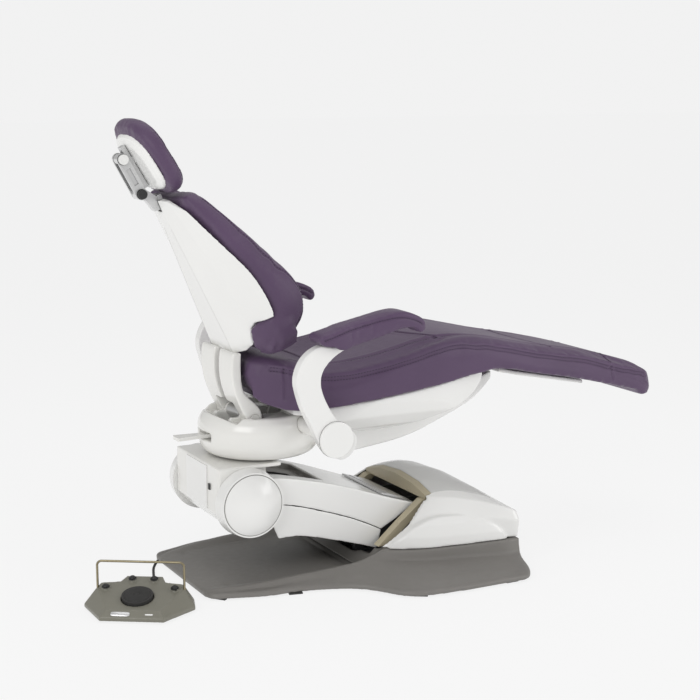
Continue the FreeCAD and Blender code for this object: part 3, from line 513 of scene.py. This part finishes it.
def first(tree, origin, direction):
    hit = tree.ray_cast(Vector(origin), Vector(direction))
    return (hit[0], hit[1]) if hit[0] is not None else None


def sew(ob, name, hits, body, width=0.0045, depth=0.0022, rows=(-0.004, 0.004), pitch=0.0085):
    """A sewn seam: a pressed line in the cushion and a row of stitches on each side of it."""
    path = [h[0] for h in hits]
    groove(ob, path, width, depth)
    tree = tree_of(ob)
    for k, off in enumerate(rows):
        row = []
        for j in range(len(hits)):
            a = path[max(0, j - 1)]
            b = path[min(len(path) - 1, j + 1)]
            side = (b - a).normalized().cross(hits[j][1]).normalized()
            p = path[j] + side * off
            found = tree.find_nearest(p)
            if found[0] is not None:
                row.append((found[0], found[1]))
        stitches(name + "_thread_" + str(k), row, body, pitch=pitch)


def seat_edge(tree, x, side):
    """Outer edge of the seat at x: half width and height of the top there."""
    mid = first(tree, (x, 0.0, 2.0), (0, 0, -1))
    if mid is None:
        return None
    wall = first(tree, (x, side * 2.0, mid[0].z - 0.045), (0, -side, 0))
    if wall is None:
        return None
    top = first(tree, (x, wall[0].y - side * 0.022, 2.0), (0, 0, -1))
    return (wall[0].y, top[0].z) if top else None


seat_tree = tree_of(seat)
for side, tag in ((-1, "right"), (1, "left")):
    rows = []
    for i in range(140):
        x = -0.175 + i * 0.0088
        e = seat_edge(seat_tree, x, side)
        if e is None:
            continue
        hit = first(seat_tree, (x, side * 2.0, e[1] - 0.020), (0, -side, 0))
        if hit and abs(hit[0].y) > 0.09:
            rows.append(hit)
    sew(seat, "seat_side_seam_" + tag, rows, "seat", rows=(-0.0045, 0.0045))
    band = []
    for i in range(150):
        x = -0.115 + i * 0.0076
        e = seat_edge(seat_tree, x, side)
        if e is None:
            continue
        hit = first(seat_tree, (x, e[0] - side * 0.062, 2.0), (0, 0, -1))
        if hit:
            band.append(hit)
    sew(seat, "seat_border_seam_" + tag, band, "seat", width=0.005, depth=0.0026, rows=(0.0045,))
    for x0, run in ((-0.148, 0.075), (0.905, 0.035)):
        e = seat_edge(seat_tree, x0, side)
        if e is None:
            continue
        heights = [e[1] - 0.018 - run * k / 12 for k in range(13)]
        down = [first(seat_tree, (x0, side * 2.0, z), (0, -side, 0)) for z in heights]
        groove(seat, [h[0] for h in down if h], 0.0045, 0.0024)
for name, x0, bow, half in (("knee", 0.300, 0.055, 0.188), ("calf", 0.690, 0.030, 0.165),
                            ("toe", 0.905, 0.0, 0.165), ("hip", -0.075, -0.030, 0.178)):
    line = []
    for k in range(49):
        y = half * (k / 24 - 1)
        hit = first(seat_tree, (x0 - bow * (1 - (y / half) ** 2), y, 2.0), (0, 0, -1))
        if hit:
            line.append(hit)
    sew(seat, "seat_" + name + "_seam", line, "seat", width=0.0055, depth=0.0030, rows=(0.0048,))

# ---------------------------------------------------------------- seams on the back, headrest and arm pads


def local_frame(lean_degrees, foot):
    a = math.radians(lean_degrees)
    up = Vector((-math.sin(a), 0, math.cos(a)))
    out = Vector((math.cos(a), 0, math.sin(a)))
    base = Vector(foot)
    return base, up, out


def rim_path(ob, base, up, out, u0, u1, inset, side, count=60):
    """Points just inside the rim of a pad's front face, from u0 to u1 up its height."""
    tree = tree_of(ob)
    found = []
    for i in range(count):
        u = u0 + (u1 - u0) * i / (count - 1)
        middle = first(tree, base + up * u + out * 1.0, -out)
        if middle is None:
            continue
        depth = (middle[0] - base).dot(out)
        wall = first(tree, base + up * u + out * (depth * 0.62) + Vector((0, side * 1.0, 0)), (0, -side, 0))
        if wall is None:
            continue
        y = wall[0].y - side * inset
        hit = first(tree, base + up * u + out * 1.0 + Vector((0, y, 0)), -out)
        if hit:
            found.append(hit)
    return found


BACK_LEAN = 24.3
BACK_FOOT = (-0.244, 0, 0.624)
BASE, UP, OUT = local_frame(BACK_LEAN, BACK_FOOT)
right_rim = rim_path(back, BASE, UP, OUT, 0.00, 0.405, 0.020, -1)
left_rim = rim_path(back, BASE, UP, OUT, 0.00, 0.405, 0.020, 1)
loop = right_rim + list(reversed(left_rim))
sew(back, "backrest_rim_seam", loop, "backrest", width=0.005, depth=0.0026, rows=(0.0045,))
tree = tree_of(back)
line = []
for k in range(49):
    t = k / 24 - 1
    u = 0.125 - 0.012 * (1 - t ** 2)
    hit = first(tree, BASE + UP * u + OUT * 1.0 + Vector((0, 0.150 * t, 0)), -OUT)
    if hit:
        line.append(hit)
sew(back, "backrest_lumbar_seam", line, "backrest", width=0.005, depth=0.0018, rows=(0.005,))

HEAD_LEAN = 31.0
HEAD_AT = (-0.443, 0, 1.093)
HBASE, HUP, HOUT = local_frame(HEAD_LEAN, HEAD_AT)
for side, tag in ((-1, "right"), (1, "left")):
    edge = rim_path(head, HBASE, HUP, HOUT, -0.052, 0.098, 0.010, side, 40)
    if len(edge) > 8:
        sew(head, "headrest_seam_" + tag, edge, "headrest", width=0.004, depth=0.0014, rows=(0.004,),
            pitch=0.0075)

for pad, tag, side in ((pads[0], "right", -1), (pads[1], "left", 1)):
    lo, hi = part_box("armrest_pad_" + tag)
    tree = tree_of(pad)
    for face in (-1, 1):
        line = []
        for k in range(70):
            x = lo.x + 0.016 + (hi.x - lo.x - 0.030) * k / 69
            top = first(tree, (x, (lo.y + hi.y) / 2, 2.0), (0, 0, -1))
            if top is None:
                continue
            y0 = lo.y - 0.2 if face < 0 else hi.y + 0.2
            hit = first(tree, (x, y0, top[0].z - 0.016), (0, -face, 0))
            if hit:
                line.append(hit)
        groove(pad, [h[0] for h in line], 0.0035, 0.0016)
        sunk = [(h[0] - h[1] * 0.0002, h[1]) for h in line]
        stitches("armrest_stitch_" + tag + ("_a" if face < 0 else "_b"), sunk, "armrest_" + tag,
                 pitch=0.0070, length=0.0045, radius=0.0006)

# ---------------------------------------------------------------- base and lift details

pump_lo, pump_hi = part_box("pump_cover")
pump_tree = tree_of(N["pump_cover"])


def draped_panel(name, tree, outline, thick, body, mat, step=0.006, rows=36):
    """A thin moulded panel lying on a surface; outline is its start x, its end x and its half width at x."""
    x0, x1, half = outline
    cols = int((x1 - x0) / step)
    top = []
    for i in range(cols + 1):
        x = x0 + (x1 - x0) * i / cols
        w = half(x)
        line = []
        for j in range(rows + 1):
            y = w * (2 * j / rows - 1)
            hit = first(tree, (x, y, 2.0), (0, 0, -1))
            edge = min(1.0, (w - abs(y)) / 0.006, (x - x0) / 0.006 + 0.05, (x1 - x) / 0.006 + 0.05)
            rise = thick * math.sqrt(max(0.0, 1 - (1 - max(0.0, edge)) ** 2))
            line.append(hit[0] + Vector((0, 0, rise)) if hit else None)
        top.append(line)
    verts = []
    index = {}
    for i, line in enumerate(top):
        for j, p in enumerate(line):
            if p is not None:
                index[i, j] = len(verts)
                verts.append(p)
    under = len(verts)
    verts += [v - Vector((0, 0, thick + 0.0015)) for v in verts]
    faces = []
    cells = set()
    for i in range(cols):
        for j in range(rows):
            keys = [(i, j), (i + 1, j), (i + 1, j + 1), (i, j + 1)]
            if all(k in index for k in keys):
                q = [index[k] for k in keys]
                faces.append(q)
                faces.append([under + v for v in reversed(q)])
                cells.add((i, j))
    for i, j in cells:
        for a, b, n in (((i, j), (i + 1, j), (i, j - 1)), ((i + 1, j), (i + 1, j + 1), (i + 1, j)),
                        ((i + 1, j + 1), (i, j + 1), (i, j + 1)), ((i, j + 1), (i, j), (i - 1, j))):
            if n not in cells:
                p, q = index[a], index[b]
                faces.append([q, p, under + p, under + q])
    ob = new_object(name, verts, faces, mat)
    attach(ob, body)
    return ob


def panel_half(x):
    t = max(0.0, min(1.0, (x - 0.300) / 0.230))
    return 0.170 + 0.115 * t ** 1.8


draped_panel("pump_top_panel", pump_tree, (pump_lo.x + 0.004, pump_hi.x - 0.035, panel_half), 0.0012,
             "base", TOP_GREY)

# ---------------------------------------------------------------- recess pan, painted crease shade lines and seals


def swept_blocks(name, blocks, voxel, body, mat):
    """One moulded piece from prisms: each block is (ring of (y, z) at x0, ring of (y, z) at x1, x0, x1)."""
    verts = []
    faces = []
    for ring0, ring1, x0, x1 in blocks:
        n = len(ring0)
        base = len(verts)
        verts += [(x0, y, z) for y, z in ring0] + [(x1, y, z) for y, z in ring1]
        faces += [(base + k, base + (k + 1) % n, base + n + (k + 1) % n, base + n + k) for k in range(n)]
        faces.append(tuple(base + k for k in reversed(range(n))))
        faces.append(tuple(base + n + k for k in range(n)))
    ob = new_object(name, verts, faces, mat)
    skin = ob.modifiers.new("skin", "REMESH")
    skin.mode = "VOXEL"
    skin.voxel_size = voxel
    bake(ob)
    ease = ob.modifiers.new("ease", "SMOOTH")
    ease.iterations = 4
    bake(ob)
    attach(ob, body)
    return ob


def arm_roof(x):
    line = ((-0.150, 0.285), (-0.087, 0.273), (0.047, 0.237))
    for (xa, za), (xb, zb) in zip(line, line[1:]):
        if x <= xb:
            return za + (zb - za) * (x - xa) / (xb - xa)
    return line[-1][1]


def pan_ring(x, y0, y1, wall0, wall1):
    top = arm_roof(x) - 0.0006
    low = arm_roof(x) - 0.0150
    ring = [(y0, low - 0.003), (y1, low - 0.003), (y1, top if wall1 else low)]
    if wall1:
        ring += [(y1 - 0.003, top), (y1 - 0.003, low)]
    if wall0:
        ring += [(y0 + 0.003, low), (y0 + 0.003, top)]
    ring.append((y0, top if wall0 else low))
    return ring


PAN_HALF = 0.0987
LINK_HALF = 0.016
pan_blocks = []
for xa, xb in ((-0.134, -0.087), (-0.087, -0.046)):
    for y0, y1, wall0, wall1 in ((-PAN_HALF, -LINK_HALF, True, False), (LINK_HALF, PAN_HALF, False, True)):
        rings = [pan_ring(x, y0, y1, wall0, wall1) for x in (xa, xb)]
        pan_blocks.append((rings[0], rings[1], xa, xb))
rings = [pan_ring(x, -PAN_HALF, PAN_HALF, True, True) for x in (-0.046, -0.002)]
pan_blocks.append((rings[0], rings[1], -0.046, -0.002))
end_low = arm_roof(0.0) - 0.018
end_top = arm_roof(0.0) - 0.0008
end_ring = [(-PAN_HALF, end_low), (PAN_HALF, end_low), (PAN_HALF, end_top), (-PAN_HALF, end_top)]
pan_blocks.append((end_ring, end_ring, -0.0025, 0.0027))
arm_pan = swept_blocks("arm_recess_pan", pan_blocks, 0.0011, "lift_arm", PAN_GREY)
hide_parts("arm_recess_liner")


def ring_path(centre, radius, count=72):
    cx, cy, cz = centre
    angles = [2 * math.pi * k / count for k in range(count)]
    return [Vector((cx + radius * math.cos(a), cy, cz + radius * math.sin(a))) for a in angles]


for side, tag in ((-1, "right"), (1, "left")):
    arm_body = "armrest_" + tag
    for name, hub, y, radius, count, thick, body, mat, slot in (
            ("armrest_cap_seal_", (-0.075, 0.421), 0.3352, 0.0464, 72, 0.0011, arm_body, BLACK, "black"),
            ("pivot_cap_seal_", (-0.239, 0.233), 0.1874, 0.0806, 96, 0.0012, "lift_arm", LINER, "dark_liner"),
            ("headrest_cap_seal_", (-0.509, 1.119), 0.0192, 0.0132, 32, 0.0012, "headrest_link", BLACK,
             "black"),
            ("headrest_knob_seal_", (-0.461, 1.031), 0.0192, 0.0124, 32, 0.0012, "headrest_link", BLACK,
             "black")):
        centre = (hub[0], side * y, hub[1])
        tube(name + tag, ring_path(centre, radius, count), thick, body, mat, closed=True, sides=8)

shell_tree = tree_of(N["backrest_shell"])
for side, tag in ((-1, "right"), (1, "left")):
    crease = []
    for k in range(60):
        u = 0.400 * k / 59
        y = side * (0.072 - 0.052 * (max(0.0, u - 0.02) / 0.38) ** 1.15 - 0.004)
        hit = first(shell_tree, BASE + UP * u - OUT * 0.5 + Vector((0, y, 0)), OUT)
        if hit and u < 0.36:
            crease.append(hit[0] - hit[1] * 0.0004)
    if len(crease) > 8:
        # Painted shade: a thin grey line sunk along the shell's fold stands in for the shade at the crease.
        tube("backrest_crease_" + tag, catmull(crease[::3], 4), 0.0008, "backrest", TOP_GREY,
             sides=8)

# ---------------------------------------------------------------- foot control details

PEDAL_AT = (-0.543, -0.165)
TURN = math.radians(-32.0)
SLOPE = 0.24
TILT = math.atan(SLOPE)


def pedal_way(x, y, z):
    return Vector((x * math.cos(TURN) - y * math.sin(TURN), x * math.sin(TURN) + y * math.cos(TURN), z))


def pedal_point(x, y, z):
    return pedal_way(x, y, z) + Vector((PEDAL_AT[0], PEDAL_AT[1], 0))


def pedal_top(x, y):
    return pedal_point(x, y, 0.028 + (y + 0.095) * SLOPE)


RISE = pedal_way(0, -math.sin(TILT), math.cos(TILT))
ACROSS = pedal_way(1, 0, 0)
lathe("foot_disc_pad", [(0, 0.0072), (0.007, 0.0074), (0.010, 0.0096), (0.013, 0.0104), (0.024, 0.0102),
                        (0.031, 0.0092), (0.0345, 0.0078), (0.0345, 0.0068), (0, 0.0068)],
      pedal_top(0, -0.038), RISE, "foot_disc", RUBBER)
FORE = RISE.cross(ACROSS)
for k, (x, y) in enumerate(((-0.088, -0.002), (-0.028, 0.038), (0.028, 0.038), (0.088, -0.002))):
    c = pedal_top(x, y) + RISE * 0.0062
    angles = [math.pi * q / 16 for q in range(32)]
    circle = [c + ACROSS * (0.0093 * math.cos(a)) + FORE * (0.0093 * math.sin(a)) for a in angles]
    tube("foot_button_collar_" + str(k + 1), circle, 0.0011, "base", BLACK, closed=True, sides=8)


def small_plate(name, centre, u, v, half_u, half_v, thick, mat, count=40):
    """A thin rounded plate with a rolled edge, lying on a face."""
    n = u.cross(v).normalized()
    verts = []
    for inset, h in ((0.0, -0.0006), (0.0, thick * 0.5), (thick * 0.6, thick)):
        for k in range(count):
            a = 2 * math.pi * (k + 0.5) / count
            c, d = math.cos(a), math.sin(a)
            verts.append(centre + u * ((half_u - inset) * math.copysign(abs(c) ** 0.45, c))
                         + v * ((half_v - inset) * math.copysign(abs(d) ** 0.45, d)) + n * h)
    faces = []
    for low in (0, count):
        for k in range(count):
            q = (k + 1) % count
            faces.append((low + k, low + q, low + count + q, low + count + k))
    faces.append(tuple(reversed(range(count))))
    faces.append(tuple(2 * count + k for k in range(count)))
    ob = new_object(name, verts, faces, mat)
    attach(ob, "base")


front_v = pedal_way(0, 0.017, 0.015).normalized()
small_plate("foot_rating_plate", pedal_point(-0.030, -0.1035, 0.0205), ACROSS, front_v, 0.024, 0.0062, 0.0009,
            ALLOY)
small_plate("foot_mark_bar", pedal_point(0.042, -0.1035, 0.0205), ACROSS, front_v, 0.010, 0.0020, 0.0007,
            WHITE)

# ---------------------------------------------------------------- stage, lights, camera

FLOOR_HALF = 40.0
FLOOR_Z = -0.0005
FLOOR_PAINT = surface("floor", (0.13, 0.13, 0.13), 0.9, vary=0.004, rough_vary=0.02)
corners = [(x * FLOOR_HALF, y * FLOOR_HALF, FLOOR_Z) for x, y in ((-1, -1), (1, -1), (1, 1), (-1, 1))]
floor = new_object("floor", corners, [(0, 1, 2, 3)], FLOOR_PAINT)
glow = floor.data.materials[0].node_tree.nodes["Principled BSDF"]
glow.inputs["Emission Color"].default_value = (1, 1, 1, 1)
glow.inputs["Emission Strength"].default_value = 0.818
glow.inputs["Specular IOR Level"].default_value = 0.0

world = bpy.data.worlds.new("studio")
scene.world = world
world.use_nodes = True
wt = world.node_tree
back_n = wt.nodes["Background"]
back_n.inputs["Color"].default_value = (1, 1, 1, 1)
back_n.inputs["Strength"].default_value = 0.48
seen = wt.nodes.new("ShaderNodeBackground")
seen.inputs["Color"].default_value = (0.886, 0.886, 0.886, 1)
seen.inputs["Strength"].default_value = 1.0
path_n = wt.nodes.new("ShaderNodeLightPath")
choose = wt.nodes.new("ShaderNodeMixShader")
wt.links.new(path_n.outputs["Is Camera Ray"], choose.inputs[0])
wt.links.new(back_n.outputs[0], choose.inputs[1])
wt.links.new(seen.outputs[0], choose.inputs[2])
wt.links.new(choose.outputs[0], wt.nodes["World Output"].inputs["Surface"])


def soft_box(name, at, target, size, power):
    data = bpy.data.lights.new(name, "AREA")
    data.shape = "RECTANGLE"
    data.size = size[0]
    data.size_y = size[1]
    data.energy = power
    ob = bpy.data.objects.new(name, data)
    scene.collection.objects.link(ob)
    ob.location = at
    ob.rotation_euler = (Vector(target) - Vector(at)).to_track_quat("-Z", "Y").to_euler()


soft_box("light_top", (0.2, 0.2, 3.4), (0.2, 0.0, 0.4), (3.0, 3.0), 22)
soft_box("light_left", (-3.2, -2.2, 2.2), (0.0, 0.0, 0.6), (2.4, 2.4), 50)
soft_box("light_right", (3.0, -2.8, 1.8), (0.3, 0.0, 0.5), (2.0, 2.4), 42)

cam_data = bpy.data.cameras.new("camera")
cam_data.lens = 78.607
cam_data.sensor_width = 36.0
cam_data.clip_end = 200
camera = bpy.data.objects.new("camera", cam_data)
scene.collection.objects.link(camera)
camera.location = (-1.79083, -3.67650, 1.32650)
camera.rotation_euler = Vector((0.457755, 0.871271, -0.177055)).to_track_quat("-Z", "Y").to_euler()
scene.camera = camera
